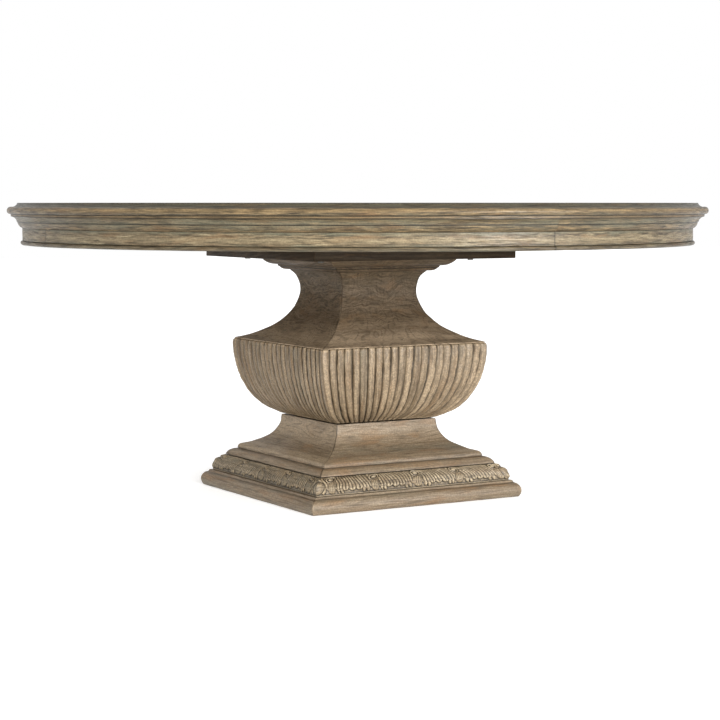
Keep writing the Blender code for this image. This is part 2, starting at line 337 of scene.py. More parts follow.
def eased_board(node, material, ease=0.0015, layered=False):
    """A CAD board with its arrises taken off. Its grain runs along its longest side, or round its edges."""
    low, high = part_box(node)
    size = high - low
    longest = max(range(3), key=lambda axis: size[axis])
    bm = bmesh.new()
    bm.from_mesh(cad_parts[node].data)
    bmesh.ops.remove_doubles(bm, verts=bm.verts, dist=1e-5)
    bmesh.ops.dissolve_limit(
        bm, angle_limit=math.radians(2), use_dissolve_boundaries=False, verts=bm.verts, edges=bm.edges
    )
    arrises = [edge for edge in bm.edges if edge.calc_face_angle(0) > math.radians(60)]
    bmesh.ops.bevel(
        bm, geom=arrises, offset=ease, offset_type="OFFSET", segments=2, profile=0.5, affect="EDGES"
    )
    mesh = bpy.data.meshes.new(node + "_board")
    bm.to_mesh(mesh)
    bm.free()
    points = np.array([vert.co for vert in mesh.vertices])
    order = [longest, *(axis for axis in range(3) if axis != longest)]
    grain = points[:, order] + np.array((0, 0, grain_seed(node)))
    if layered:
        grain[:, 0] = points[:, 0] + points[:, 1]
        grain[:, 1] = points[:, 2] + 0.1 * points[:, 1]
    store(mesh, "grain", "FLOAT_VECTOR", grain)
    show(node + "_board", finish_mesh(mesh, 40), material, "table", node)


# ---------------------------------------------------------------- materials


def linear(red, green, blue):
    """The surface colour that looks like this one, on a 0 to 255 scale, under the studio's light."""
    shares = np.array((red, green, blue)) / 255
    light = np.where(shares <= 0.04045, shares / 12.92, ((shares + 0.055) / 1.055) ** 2.4)
    return (*(STUDIO_DIMMING * light).tolist(), 1.0)


class Paint:
    """A new material's nodes. An input is a number, a colour or another node's output."""

    def __init__(self, name):
        self.material = bpy.data.materials.new(name)
        self.material.use_nodes = True
        self.tree = self.material.node_tree
        self.shader = self.tree.nodes["Principled BSDF"]

    def set(self, socket, value):
        if isinstance(value, bpy.types.NodeSocket):
            self.tree.links.new(value, socket)
        else:
            socket.default_value = value

    def node(self, kind, inputs, output=0, **settings):
        node = self.tree.nodes.new("ShaderNode" + kind)
        for key, value in settings.items():
            setattr(node, key, value)
        for key, value in inputs.items():
            self.set(node.inputs[key], value)
        return node.outputs[output]

    def attribute(self, name, output):
        return self.node("Attribute", {}, output, attribute_name=name)

    def stretched(self, vector, *scale):
        return self.node("VectorMath", {0: vector, 1: scale}, operation="MULTIPLY")

    def noise(self, vector, detail=3.0, roughness=0.55, distortion=0.0):
        inputs = {"Vector": vector, "Scale": 1.0, "Detail": detail, "Roughness": roughness}
        return self.node("TexNoise", {**inputs, "Distortion": distortion}, "Fac")

    def ramp(self, value, low, high, to_low=0.0, to_high=1.0):
        """Value eased from to_low at low to to_high at high."""
        inputs = {"Value": value, "From Min": low, "From Max": high, "To Min": to_low, "To Max": to_high}
        return self.node("MapRange", inputs, interpolation_type="SMOOTHSTEP")

    def maths(self, operation, *values):
        return self.node("Math", dict(enumerate(values)), operation=operation)

    def mix(self, share, first, second):
        return self.node("Mix", {0: share, 6: first, 7: second}, 2, data_type="RGBA", clamp_factor=True)

    def bump(self, height, strength, distance):
        inputs = {"Height": height, "Strength": strength, "Distance": distance}
        self.set(self.shader.inputs["Normal"], self.node("Bump", inputs))

    def surface(self, **values):
        for name, value in values.items():
            self.set(self.shader.inputs[name.replace("_", " ")], value)
        return self.material


def wood(
    name,
    light,
    dark,
    worn,
    glaze,
    line=(50, 41, 30),
    figure=(2.5, 26, 12),
    wander=0.004,
    fineness=1.0,
    shortness=1.0,
    streakiness=1.0,
    patchiness=0.6,
    pores=0.7,
    grit=0.25,
    roughness=0.5,
    specular=0.35,
    relief=1.0,
):
    """Limed open-grained hardwood under a grey glaze, worn back on its high places. Its wash and line
    attributes also carry painted light and painted shade.

    Figure is how fast the growth rings vary along and across the grain, and how many rings show.
    Wander is how far, in metres, the fibres stray off the straight."""
    paint = Paint(name)
    grain = paint.attribute("grain", "Vector")
    wash_and_shading = paint.attribute("wash_and_shading", "Fac")
    dark_line = paint.attribute("line", "Fac")
    maths, ramp, mix, noise, stretched = paint.maths, paint.ramp, paint.mix, paint.noise, paint.stretched

    sideways = maths("MULTIPLY_ADD", noise(stretched(grain, 6, 16, 1), 2.0), 2 * wander, -wander)
    place = paint.node("VectorMath", {0: grain, 1: paint.node("CombineXYZ", {1: sideways})}, operation="ADD")
    fibres = noise(stretched(place, 10 * shortness, 200 * fineness, 1), 4.0, 0.72)
    streaks = noise(stretched(place, 7 * shortness, 74 * fineness, 1.4), 3.0, 0.62)
    along_rate, across_rate, rings = figure
    swell = noise(stretched(place, along_rate, across_rate, 1.2), 1.5, 0.45)
    ring = maths("SINE", maths("MULTIPLY", swell, 2 * math.pi * rings))
    patches = noise(stretched(grain, 7, 26, 1), 3.0, 0.62, 0.5)
    warmth = noise(stretched(grain, 8, 34, 1.7), 3.0, 0.6, 0.4)
    fleck = noise(stretched(place, 26, 380 * fineness, 1.3), 2.0, 0.6)
    speckle = noise(stretched(grain, 210, 240, 1), 3.0, 0.7)

    colour = mix(ramp(fibres, 0.36, 0.62), linear(*dark), linear(*light))
    colour = mix(ramp(streaks, 0.53, 0.68, 0.0, 0.75 * streakiness), colour, linear(*worn))
    darker = linear(*(0.8 * part for part in dark))
    colour = mix(ramp(streaks, 0.44, 0.30, 0.0, 0.7 * streakiness), colour, darker)
    russet = linear(*(0.45 * a + 0.55 * b for a, b in zip(dark, (172, 128, 84))))
    colour = mix(ramp(warmth, 0.5, 0.68, 0.0, 0.7 * patchiness), colour, russet)

    # Below 0 the wash turns the colour toward the worn colour, above 0 toward the glaze: worn wood and
    # glaze, and on the neck and the pedestal's left sides painted light and painted shade.
    wear_and_painted_light = maths("MULTIPLY", ramp(wash_and_shading, 0.0, -1.0), ramp(patches, 0.25, 0.62, 0.3, 1.0))
    colour = mix(wear_and_painted_light, colour, linear(*worn))
    uneven = maths("MULTIPLY_ADD", patches, 3.4 * patchiness, wash_and_shading)
    greyed = ramp(uneven, 1.55 * patchiness, 0.9 + 2.0 * patchiness, 0.0, 0.95)
    greyed = maths("MULTIPLY", greyed, ramp(fibres, 0.3, 0.6, 1.0, 0.6))
    colour = mix(greyed, colour, linear(*glaze))

    ring_line = maths("MULTIPLY", ramp(ring, 0.35, 1.0), ramp(fibres, 0.62, 0.4, 0.25, 1.0))
    colour = mix(maths("MULTIPLY", ring_line, 0.42), colour, linear(*(0.62 * part for part in dark)))
    open_pores = ramp(fleck, 0.58, 0.70, 0.0, pores)
    colour = mix(open_pores, colour, linear(*(0.5 * part for part in dark)))
    grains = ramp(speckle, 0.60, 0.42, 0.0, grit)
    colour = mix(grains, colour, linear(*(0.62 * part for part in dark)))
    broken = ramp(speckle, 0.3, 0.55, 0.5, 1.0)
    # The line attribute draws thin dark lines: dark joints, and glaze with painted shade in creases, grooves
    # and the carving's valleys.
    colour = mix(maths("MULTIPLY", dark_line, broken), colour, linear(*line))

    rough = ramp(fibres, 0.3, 0.7, roughness + 0.12, roughness - 0.06)
    height = maths("MULTIPLY_ADD", fibres, 0.7, maths("MULTIPLY", speckle, 0.3 + grit))
    height = maths("SUBTRACT", height, maths("MULTIPLY", open_pores, 0.7))
    height = maths("SUBTRACT", height, maths("MULTIPLY", ring_line, 0.25))
    paint.bump(height, 0.6, 0.0010 * relief)
    return paint.surface(Base_Color=colour, Roughness=rough, Specular_IOR_Level=specular)


def metal(name, colour, roughness):
    """Zinc plate, mottled and finely scratched."""
    paint = Paint(name)
    place = paint.node("TexCoord", {}, "Object")
    mottle = paint.noise(paint.stretched(place, 90, 90, 90), 3.0)
    scratches = paint.noise(paint.stretched(place, 900, 900, 60), 2.0)
    tone = paint.mix(mottle, linear(*(0.8 * part for part in colour)), linear(*colour))
    rough = paint.ramp(mottle, 0.3, 0.7, roughness - 0.08, roughness + 0.12)
    paint.bump(scratches, 0.25, 0.0001)
    return paint.surface(Base_Color=tone, Roughness=rough, Metallic=1.0)


def moulded_plastic(name, colour):
    paint = Paint(name)
    place = paint.node("TexCoord", {}, "Object")
    pebble = paint.noise(paint.stretched(place, 1400, 1400, 1400), 2.0)
    scuffs = paint.noise(paint.stretched(place, 120, 120, 300), 3.0)
    tone = paint.mix(paint.ramp(scuffs, 0.5, 0.8), linear(*colour), linear(*(part + 30 for part in colour)))
    paint.bump(pebble, 0.3, 0.0002)
    return paint.surface(Base_Color=tone, Roughness=paint.ramp(scuffs, 0.4, 0.8, 0.42, 0.6))


TOP_WOOD = wood("washed_top", (124, 111, 85), (88, 76, 55), (150, 132, 99), (98, 98, 82), wander=0.010)
RIM_WOOD = wood(
    "washed_rim",
    (130, 112, 82),
    (62, 51, 34),
    (166, 139, 98),
    (116, 114, 94),
    line=(26, 21, 13),
    fineness=1.7,
    shortness=1.8,
    patchiness=0.8,
    roughness=0.40,
    specular=0.25,
)
APRON_WOOD = wood(
    "washed_apron",
    (140, 123, 95),
    (78, 66, 47),
    (171, 155, 122),
    (117, 118, 99),
    line=(30, 25, 16),
    fineness=1.7,
    shortness=1.8,
    patchiness=0.8,
    roughness=0.42,
    specular=0.25,
)
# The neck's glaze colour also serves as painted shade at the neck's top, under the table top, and its pale
# worn colour as painted light on the flare.
NECK_WOOD = wood(
    "figured_neck",
    (128, 109, 87),
    (92, 77, 58),
    (198, 174, 144),
    (86, 77, 62),
    figure=(9, 10, 12),
    wander=0.030,
    fineness=1.3,
    streakiness=0.15,
    patchiness=0.5,
    specular=0.08,
    relief=0.7,
)
BOWL_WOOD = wood(
    "reeded_bowl",
    (172, 150, 120),
    (126, 105, 77),
    (204, 180, 147),
    (142, 132, 111),
    figure=(2.5, 20, 4),
    fineness=1.2,
    streakiness=0.6,
    patchiness=0.5,
    pores=0.6,
    grit=0.45,
)
BASE_WOOD = wood(
    "washed_base",
    (160, 140, 114),
    (124, 104, 79),
    (191, 169, 138),
    (126, 120, 101),
    fineness=1.7,
    shortness=1.3,
    streakiness=0.4,
    patchiness=0.95,
    wander=0.008,
    pores=0.35,
    grit=0.35,
)
CARVED_WOOD = wood(
    "carved_band",
    (179, 158, 127),
    (138, 119, 92),
    (217, 197, 163),
    (132, 123, 103),
    line=(46, 39, 28),
    figure=(2.5, 20, 4),
    streakiness=0.4,
    grit=0.4,
)
DARK_WOOD = wood(
    "dark_stain",
    (59, 46, 28),
    (45, 33, 18),
    (69, 55, 34),
    (53, 43, 26),
    streakiness=0.6,
    patchiness=0.3,
    pores=0.3,
    specular=0.08,
)
PLAIN_WOOD = wood(
    "plain_hardwood", (196, 166, 126), (164, 132, 94), (206, 180, 142), (178, 152, 116), patchiness=0.2
)
STEEL = metal("zinc_plate", (116, 114, 108), 0.48)
PLASTIC = moulded_plastic("black_plastic", (30, 30, 31))


# ---------------------------------------------------------------- round top


def make_top():
    """Planks laid side by side and let into the rim."""
    low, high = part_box("top_panel")
    radius = high.x - PLANK_SLACK
    columns = 15
    edges = np.linspace(-radius, radius, PLANKS + 1) * 0.9998
    stations = np.linspace(-1, 1, 61)
    face, arrises = slice(1, columns + 1), [0, columns + 1]
    for number, (left, right) in enumerate(zip(edges, edges[1:])):
        left, right = left + JOINT_GAP / 2, right - JOINT_GAP / 2
        turns = np.arccos(np.array((left + PLANK_EASE, right - PLANK_EASE)) / radius)
        middle = radius * np.cos(np.linspace(*turns, columns))
        upper = np.concatenate([[left], middle, [right]])
        across = np.concatenate([upper, upper[::-1]])
        rows = len(across)
        half_chords = np.sqrt(radius**2 - across**2)
        points = np.zeros((len(stations), rows, 3))
        points[..., 0] = across
        points[..., 1] = -stations[:, None] * half_chords
        points[..., 2] = low.z
        points[:, arrises, 2] = high.z - PLANK_EASE
        waves = ripple(points[:, face, 0], points[:, face, 1], 0.03, 0.12, number)
        points[:, face, 2] = high.z + np.minimum(PLANK_WAVE * (waves - 1), 0)

        first = [(row, row + 1, rows - 2 - row, rows - 1 - row) for row in range(columns + 1)]
        last = [[(len(stations) - 1) * rows + corner for corner in quad] for quad in first]
        name = f"top_plank_{number:02d}"
        mesh = bpy.data.meshes.new(name)
        faces = grid_faces(len(stations), rows) + [quad[::-1] for quad in first] + last
        mesh.from_pydata(points.reshape(-1, 3).tolist(), [], faces)

        seed = np.full(points.shape[:2], 3.7 * number + 0.4)
        store(mesh, "grain", "FLOAT_VECTOR", np.stack([points[..., 1], points[..., 0], seed], axis=-1))
        wash_and_shading = np.full(points.shape[:2], 0.2 + 0.25 * math.sin(5.1 * number))
        store(mesh, "wash_and_shading", "FLOAT", wash_and_shading)
        dark_line = np.zeros(points.shape[:2])
        dark_line[:, arrises] = 0.8
        store(mesh, "line", "FLOAT", dark_line)
        show(name, finish_mesh(mesh, 20), TOP_WOOD, "table", "top_panel")


def rim_face():
    """A cavetto below the flat of the top, then a bead, a fillet, a cove and an ovolo."""
    cavetto = arc((0.8873, HEIGHT), (0.9030, HEIGHT - 0.0095), -0.0034)
    bead = arc((0.9032, HEIGHT - 0.0098), (0.9098, HEIGHT - 0.0276), 0.0080, steps=16)
    fillet = straight((0.9047, HEIGHT - 0.0284), (0.9043, HEIGHT - 0.0347))
    cove = arc((0.9018, HEIGHT - 0.0353), (0.8896, HEIGHT - 0.0482), -0.0027)
    ovolo = arc((0.8878, HEIGHT - 0.0490), (0.8768, HEIGHT - 0.0646), 0.0022)
    return Face(
        (straight((0.8630, HEIGHT), (0.8871, HEIGHT)), 0.25, 0.5, 0.4),
        (cavetto, 0.55, 0.8, 1.0),
        (bead, 0.0, 0.4, 0.1, -0.6, -0.1, 0.4),
        (fillet, 0.0, -0.7, -0.2),
        (cove, 0.0, 0.6, 0.4, 0.8),
        (ovolo, 0.0, 0.6, 0.1, -0.2),
        edges=(0.6, 0.8),
    )


def apron_face():
    """A plain frieze with a bead along its lower edge."""
    top, foot = HEIGHT - 0.0649, HEIGHT - 0.1070
    frieze = straight((0.8757, top), (0.8757, foot + 0.0115), (0.8747, foot + 0.0106))
    bead = arc((0.8767, foot + 0.0102), (0.8769, foot), 0.0067)
    return Face((frieze, 0.0, 0.9, 0.1, -0.6, -0.3, 0.5), (bead, 0.35, -0.4, 0.6), spacing=0.0025)


def make_round_ring(kind, face, inner, material, unevenness, end_line):
    """Four quarter arcs, with a dark line of the strength end_line where they meet."""
    stations = np.concatenate([[0, 0.0012], np.linspace(0.0025, 0.9975, 138), [0.9988, 1]])
    length = QUARTER * face.points[:, 0].max()
    from_end = np.minimum(stations, 1 - stations)[:, None] * length
    dark_line = end_line * np.exp(-((from_end / 0.0022) ** 2)) + 0 * face.run
    for number, quadrant in enumerate(QUADRANTS):
        along = stations[:, None] * length
        relief = unevenness * (ripple(along, face.run, 0.12, 0.02, number * 7 + len(kind)) - 0.8)
        node = f"{kind}_{quadrant}"
        mesh = swept(
            node,
            face,
            flat_back(face, inner),
            stations,
            arc_place(number),
            length,
            np.minimum(relief, 0) - 0.0001,
            line=dark_line,
        )
        show(node + "_turned", finish_mesh(mesh, 28), material, "table", node)


# ---------------------------------------------------------------- pedestal


def mitre_wear(stations, half_sides, width=0.0035):
    """How worn the arrises are at the mitred corners, from 0 to 1."""
    return np.exp(-((1 - np.abs(stations))[:, None] * half_sides / width) ** 2)


def make_square_ring(kind, face, material, inner=None, left_painted_shading=0.0):
    """Four mitred sides, flat inside at the inner half-side, or hollow panels without one.

    The left side may be painted paler than the others, below 0, as painted light, or greyer, as painted
    shade."""
    columns, unevenness = 120, 0.00025
    back = back_wall(face) if inner is None else flat_back(face, inner)
    stations = np.sin(np.linspace(-QUARTER, QUARTER, columns))
    half_sides = face.points[:, 0]
    length = half_sides.max()
    for number, side in enumerate(SIDES):
        along = stations[:, None] * half_sides
        relief = unevenness * (ripple(along, face.run, 0.09, 0.03, number * 11 + len(kind)) - 0.8)
        relief = np.minimum(relief, 0) - 0.0003 * mitre_wear(stations, half_sides, 0.002)
        worn = np.clip(0.5 + 0.5 * ripple(0 * along, face.run, 1, 0.05, number * 5 + len(kind)), 0, 1)
        # Painted light and painted shade on the left side, and wear at the mitres.
        wear_and_painted_light = left_painted_shading * (side == "left") - 0.8 * worn * mitre_wear(stations, half_sides)
        mitre = 0.9 * (1 - 0.6 * worn) * mitre_wear(stations, half_sides, 0.0022)
        node = f"{kind}_{side}"
        mesh = swept(node, face, back, stations, side_place(number), length, relief, wear_and_painted_light, mitre)
        show(node + "_shaped", finish_mesh(mesh, 32), material, "table", node)


def cornice_face():
    top, foot = 0.6252, 0.5913
    ovolo = arc((0.1910, top), (0.1578, 0.6050), 0.0065)
    fillet = straight((0.1578, 0.6044), (0.1560, 0.6000))
    lower_ovolo = arc((0.1535, 0.5985), (0.1400, foot), 0.0020)
    return Face((ovolo, 0.30, 0.3, 0.0), (fillet, 0.25, 0.1), (lower_ovolo, 0.30, -0.1, 0.3))


def neck_face():
    """A deep scotia that flares down to the rim of the bowl."""
    scotia = flowing(
        (0.1330, 0.5910),
        (0.1195, 0.5730),
        (0.1128, 0.5410),
        (0.1182, 0.5100),
        (0.1330, 0.4780),
        (0.1620, 0.4460),
        (0.2070, 0.4190),
        (0.2440, 0.4065),
    )
    scotia = np.vstack([scotia, (0.2440, 0.4043)])
    # Painted shade at the scotia's top, under the table top, fading to painted light on the flare.
    return Face((scotia, 0.0, 0.6, 0.5, 0.2, -0.1, -0.5, -1.0, -1.0), edges=(0.6, 0.0))


def spreader_face():
    """A hollow-sided foot below the waist, with a rounded lower lip."""
    hollow = flowing(
        (0.1502, 0.2010),
        (0.1557, 0.1725),
        (0.1745, 0.1455),
        (0.2080, 0.1265),
        (0.2330, 0.1180),
    )
    lip = arc((0.2345, 0.1172), (0.2388, 0.1053), 0.0018)
    profile = np.vstack([hollow, lip])
    return Face((profile, 0.0, -0.2, -0.5, -0.1, 0.3, 0.5, -0.7, 0.3), edges=(0.0, 0.5))


def step_face():
    ovolo = arc((0.2395, 0.1050), (0.2630, 0.0885), 0.0045)
    edge = straight((0.2630, 0.0884), (0.2630, 0.0878))
    return Face((np.vstack([ovolo, edge]), 0.0, 0.3, -0.4, -0.1), edges=(0.3, 0.2))


def plinth_face():
    """A fillet and a small hollow over a bullnose that almost reaches the floor."""
    fillet = straight((0.2966, 0.0435), (0.2975, 0.0415))
    hollow = arc((0.2978, 0.0412), (0.3005, 0.0380), -0.0006)
    bullnose = arc((0.3040, 0.0370), (0.3085, 0.0010), 0.0078, steps=16)
    top = np.vstack([fillet, hollow])
    finish = (bullnose, 0.0, 0.1, -0.3, 0.0, 0.3)
    return Face((top, 0.0, -0.7, -0.3, 0.3), finish, edges=(0.3, 0.2), crease_lines=0.35)


def bowl_face():
    """Urn-shaped body, widest just under its rim, with the reeds' ends rounded over."""
    body = flowing(
        (0.2475, 0.4040),
        (0.2485, 0.3870),
        (0.2460, 0.3550),
        (0.2363, 0.3070),
        (0.2155, 0.2590),
        (0.1888, 0.2265),
        (0.1525, 0.2045),
        steps=10,
    )
    body = np.vstack([body, (0.1505, 0.2013)])
    return Face((body, 0.0, 0.3, 0.1, 0.0, -0.1, 0.1), edges=(0.0, 0.0))


def reed_stations():
    """Where the columns lie along a side, from -1 to 1, and how deep each lies in a groove, from 0 to 1."""
    middle = (BOWL_HALF_SIDE - sum(CORNER_REEDS)) * 2 / MIDDLE_REEDS
    widths = [*CORNER_REEDS, *[middle] * MIDDLE_REEDS, *CORNER_REEDS[::-1]]
    edges = np.concatenate([[0], np.cumsum(widths)]) / BOWL_HALF_SIDE - 1
    samples = np.array(REED_SAMPLES)
    stations = [start + (end - start) * samples for start, end in zip(edges, edges[1:])]
    groove = np.tile(np.abs(2 * samples - 1), len(widths))
    reed = np.repeat(np.arange(len(widths)), len(samples))
    return np.append(np.concatenate(stations), 1.0), np.append(groove, 1.0), np.append(reed, reed[-1])


def rounded_end(distance, radius):
    """How far a rounded-over end falls away, at each distance from it."""
    left = np.clip(1 - distance / radius, 0, 1)
    return radius * (1 - np.sqrt(1 - left**2))


def make_bowl():
    face = bowl_face()
    stations, groove, reed = reed_stations()
    height = face.run[-1]
    at_corner = np.abs(stations) > 1 - CORNER_REEDS[0] / 2 / BOWL_HALF_SIDE
    for number, side in enumerate(SIDES):
        rng = np.random.default_rng(31 + number)
        depth = REED_DEPTH * (1 + 0.14 * rng.standard_normal(reed.max() + 1))[reed]
        depth[at_corner] *= 0.25
        lift = 0.0004 * rng.uniform(-1, 0, reed.max() + 1)[reed]
        paler = 0.25 * rng.standard_normal(reed.max() + 1)[reed]
        chipped = ripple(stations[:, None] * BOWL_HALF_SIDE, face.run, 0.012, 0.016, number)
        broken = ripple(reed[:, None] * 0.05, face.run, 0.05, 0.06, number + 70)
        valley = groove[:, None] ** (3.0 + 0.7 * np.tanh(chipped))
        cut = depth[:, None] * (0.92 + 0.12 * np.tanh(broken))
        end = rounded_end(face.run, 0.0035) + 0.7 * rounded_end(height - face.run, 0.006)
        relief = lift[:, None] - cut * valley - end + 0.0002 * (chipped - 1)
        sway = ripple(reed[:, None] * 0.02, face.run, 0.03, 0.16, number + 50)
        edges = 1 - np.abs(stations[:, None]) ** 12
        along = stations[:, None] + 0.0030 * sway * edges
        waist = np.clip(1.5 - (height - face.run) / 0.010, 0, 1)
        # Dark lines in the grooves, partly glaze and partly painted shade, and darker still at the waist,
        # where the bowl meets the foot, as painted shade.
        line = np.clip(1.7 * valley - 0.62 + 0.2 * np.tanh(broken) + 1.2 * waist * valley, 0, 0.96)
        line[at_corner] *= 0.3
        tips = np.clip(1 - face.run / 0.008, 0, 1)
        wash_and_shading = 0.65 * groove[:, None] ** 2 - 0.35 + paler[:, None] - tips - 0.8 * waist
        node = f"bowl_panel_{side}"
        mesh = swept(
            node,
            face,
            back_wall(face),
            along,
            side_place(number),
            BOWL_HALF_SIDE,
            relief,
            wash_and_shading,
            line,
            upright=True,
        )
        show(f"reeded_{node}", finish_mesh(mesh, 50), BOWL_WOOD, "table", node)


# ---------------------------------------------------------------- carved band


def blurred(field, reach):
    """The field averaged over about reach cells each way."""
    window = np.exp(-((np.arange(-2 * reach, 2 * reach + 1) / reach) ** 2))
    window /= window.sum()
    for axis in (0, 1):
        padded = np.pad(field, [(2 * reach, 2 * reach) if a == axis else (0, 0) for a in (0, 1)], "edge")
        field = np.apply_along_axis(lambda row: np.convolve(row, window, mode="valid"), axis, padded)
    return field


def dome(along, down, x, y, half_width, half_height):
    """Height of a rounded egg-shaped swelling, from 0 at its outline to 1."""
    distance = ((along - x) / half_width) ** 2 + ((down - y) / half_height) ** 2
    return np.sqrt(np.clip(1 - distance, 0, 1))


def ridges(phase, sharpness=0.6):
    """A row of rounded ridges, one for each whole number of the phase, from 0 to 1."""
    return np.abs(np.sin(math.pi * phase)) ** sharpness


def raise_leaf(field, s, v):
    """Pleats that sweep from beside a scroll to a sagging hem, with a few rounded tips over it.

    Here and in raise_scroll, s counts units along the band from a scroll, and v runs down it, from 0
    at its top to 1 at its foot."""
    flow = s - 0.20 * (1 - (1 - np.clip(v, 0, 1)) ** 2)
    share = np.clip((flow + 0.06) / 0.92, 0, 1)
    pleat = ridges(PLEATS * share**0.92)
    sag = np.sin(math.pi * np.clip((share - 0.05) / 0.80, 0, 1))
    hem = 0.66 + 0.07 * sag + 0.11 * ridges(SCALLOPS * share, 0.8)
    edge = np.clip((hem - v) / 0.05, 0, 1) ** 0.5
    swell = 0.0012 * sag * (0.5 + 0.5 * v)
    leaf = edge * (0.0006 + swell + PLEAT_HEIGHT * pleat)
    np.maximum(field, np.where((share > 0) & (share < 1), leaf, 0), out=field)
    for spot, drop, width, length in (
        (0.215, 0.76, 0.040, 0.19),
        (0.290, 0.80, 0.038, 0.17),
        (0.760, 0.78, 0.042, 0.18),
        (0.845, 0.72, 0.045, 0.22),
    ):
        tip = dome(s - 0.10 * (v - drop), v, spot, drop, width, length)
        np.maximum(field, TIP_HEIGHT * tip, out=field)


def raise_scroll(field, s, v):
    """A ball in a curl, over a creased belly that hangs below it."""
    field *= np.clip(1 - 0.7 * dome(s, v, 0.035, 0.62, 0.130, 0.32), 0, 1)
    belly = dome(s - 0.04 * (v - 0.6), v, 0.035, 0.62, 0.112, 0.31)
    creases = 0.55 + 0.45 * ridges(5 * (s - 0.035) / (0.09 + 0.14 * belly) + 0.5)
    np.maximum(field, SCROLL_HEIGHT * belly * creases, out=field)
    field *= np.clip(1 - 0.9 * dome(s, v, 0.0, 0.19, 0.140, 0.24), 0, 1)
    away = np.hypot(s / 0.115, (v - 0.20) / 0.195)
    turn = np.arctan2(v - 0.20, s)
    curl = np.exp(-(((away - 0.85) / 0.16) ** 2)) * np.clip(1.1 - 0.6 * np.sin(turn + 0.6), 0.3, 1)
    np.maximum(field, 0.0040 * curl, out=field)
    np.maximum(field, SCROLL_HEIGHT * dome(s, v, 0.0, 0.20, 0.055, 0.10), out=field)


def carved_relief(along, down, band):
    """Height of the carving over its ground, with along from one corner and down from the top."""
    field = np.zeros_like(along)
    v = down / band
    for number in range(-1, CARVED_UNITS):
        s = (along - FIRST_SCROLL) / UNIT_PITCH - number
        raise_leaf(field, s, v)
        raise_scroll(field, s, v)
        for spot in DRILLED_HOLES:
            field *= 1 - dome(s, v, spot, 0.87, 0.020, 0.075)
    for end in (0, CARVED_LENGTH):
        field *= np.clip(1 - 1.4 * dome(along, v, end, 0.62, 0.0185, 0.42), 0, 1)
        boss = dome(along, v, end, 0.62, 0.0160, 0.36)
        curl = 0.62 + 0.38 * ridges(2.5 * boss + 0.5)
        np.maximum(field, BOSS_HEIGHT * boss * curl, out=field)
    return field


def make_carved_band():
    """Four mitred sides with the carving as real relief. The left side is painted greyer, as painted shade.
    """
    columns = 820
    # The left side is painted greyer, as painted shade.
    left_painted_shading = 0.8
    profile = arc((0.2640, 0.0875), (0.2910, 0.0438), 0.0100, steps=72)
    face = Face((profile, 0.0, 0.2, 0.1, 0.0, 0.1), spacing=0.01, edges=(0.2, 0.2))
    stations = np.linspace(-1, 1, columns)
    band = face.run[-1]
    for number, side in enumerate(SIDES):
        runs_on = 1 if number % 2 else -1
        along = (1 + runs_on * stations[:, None]) / 2 * CARVED_LENGTH + 0 * face.run
        down = np.tile(face.run, (columns, 1))
        stray = 0.0016 * ripple(along, down, 0.05, 0.03, 60 + number)
        height = carved_relief(along + stray, down, band)
        height *= 1 + 0.11 * ripple(along, down, 0.02, 0.02, 75 + number)
        height += 0.00012 * ripple(along, down, 0.006, 0.006, 90 + number)
        rim = np.minimum(face.run, band - face.run)
        height = np.where(rim < CARVED_LIP, LIP_HEIGHT, height)
        soft = blurred(height, 2)
        softer = blurred(height, 5)
        # The carving's valleys get dark lines, partly glaze in the hollows and partly painted shade.
        valley = np.clip((softer - height) / 0.0006 - 0.04, 0, 1)
        crest = np.clip((height - softer) / 0.0009, 0, 1)
        relief = np.minimum(0.35 * soft + 0.65 * height - CARVED_DEPTH, 0)
        ground = np.clip(1 - soft / 0.0010, 0, 1) * (down > 0.7 * band)
        wash_and_shading = 0.45 - 1.6 * crest - 0.8 * ground + left_painted_shading * (side == "left")
        node = f"carved_moulding_{side}"
        mesh = swept(
            node,
            face,
            flat_back(face, CARVED_INNER),
            stations,
            side_place(number),
            CARVED_LENGTH / 2,
            relief,
            wash_and_shading,
            0.95 * valley,
        )
        show(f"leafy_{node}", finish_mesh(mesh, 60), CARVED_WOOD, "table", node)


# ---------------------------------------------------------------- frame, core and fasteners


def make_boards():
    eased_board("mounting_plate", DARK_WOOD, 0.002, layered=True)
    for node in (
        "batten_back",
        "batten_front",
        "cross_rail_right",
        "cross_rail_left",
        "core_post",
        "rim_board",
        "waist_board",
        "base_board",
    ):
        eased_board(node, PLAIN_WOOD)


def hexagon(angles, across_flats):
    """Radius of a hexagon's side at each angle."""
    sixth = math.pi / 3
    return across_flats / 2 / np.cos((angles + sixth / 2) % sixth - sixth / 2)


def matrix_at(centre):
    return Matrix.Translation((centre[0], centre[1], 0))


def make_bolts():
    """A hex head and a washer under the plate, on a shank that runs up into the batten."""
    for quadrant in QUADRANTS:
        node = f"mounting_bolt_{quadrant}"
        low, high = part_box(node)
        washer = (high.x - low.x) / 2
        seat = low.z + 0.0060
        shank = 0.0039
        profile = [(0, high.z), (shank - 0.0008, high.z), (shank, high.z - 0.0008), (shank, seat)]
        profile += [(washer, seat), (washer, seat - 0.0014), (washer - 0.0001, seat - 0.0015)]
        profile += [(0.0075, seat - 0.0015), (0.0075, low.z + 0.0006), (0.0066, low.z), (0, low.z)]

        def reshape(angles, radii, heights):
            head = (heights < seat - 0.00149) & (radii > 0.005) & (radii < 0.0076)
            corners = np.minimum(radii + 0.001, hexagon(angles, HEAD_ACROSS_FLATS))
            return np.where(head, corners, radii)

        mesh = revolved(node + "_hex", profile, 48, reshape)
        mesh.transform(matrix_at((low + high) / 2))
        show(node + "_hex", finish_mesh(mesh, 30), STEEL, "table", node)


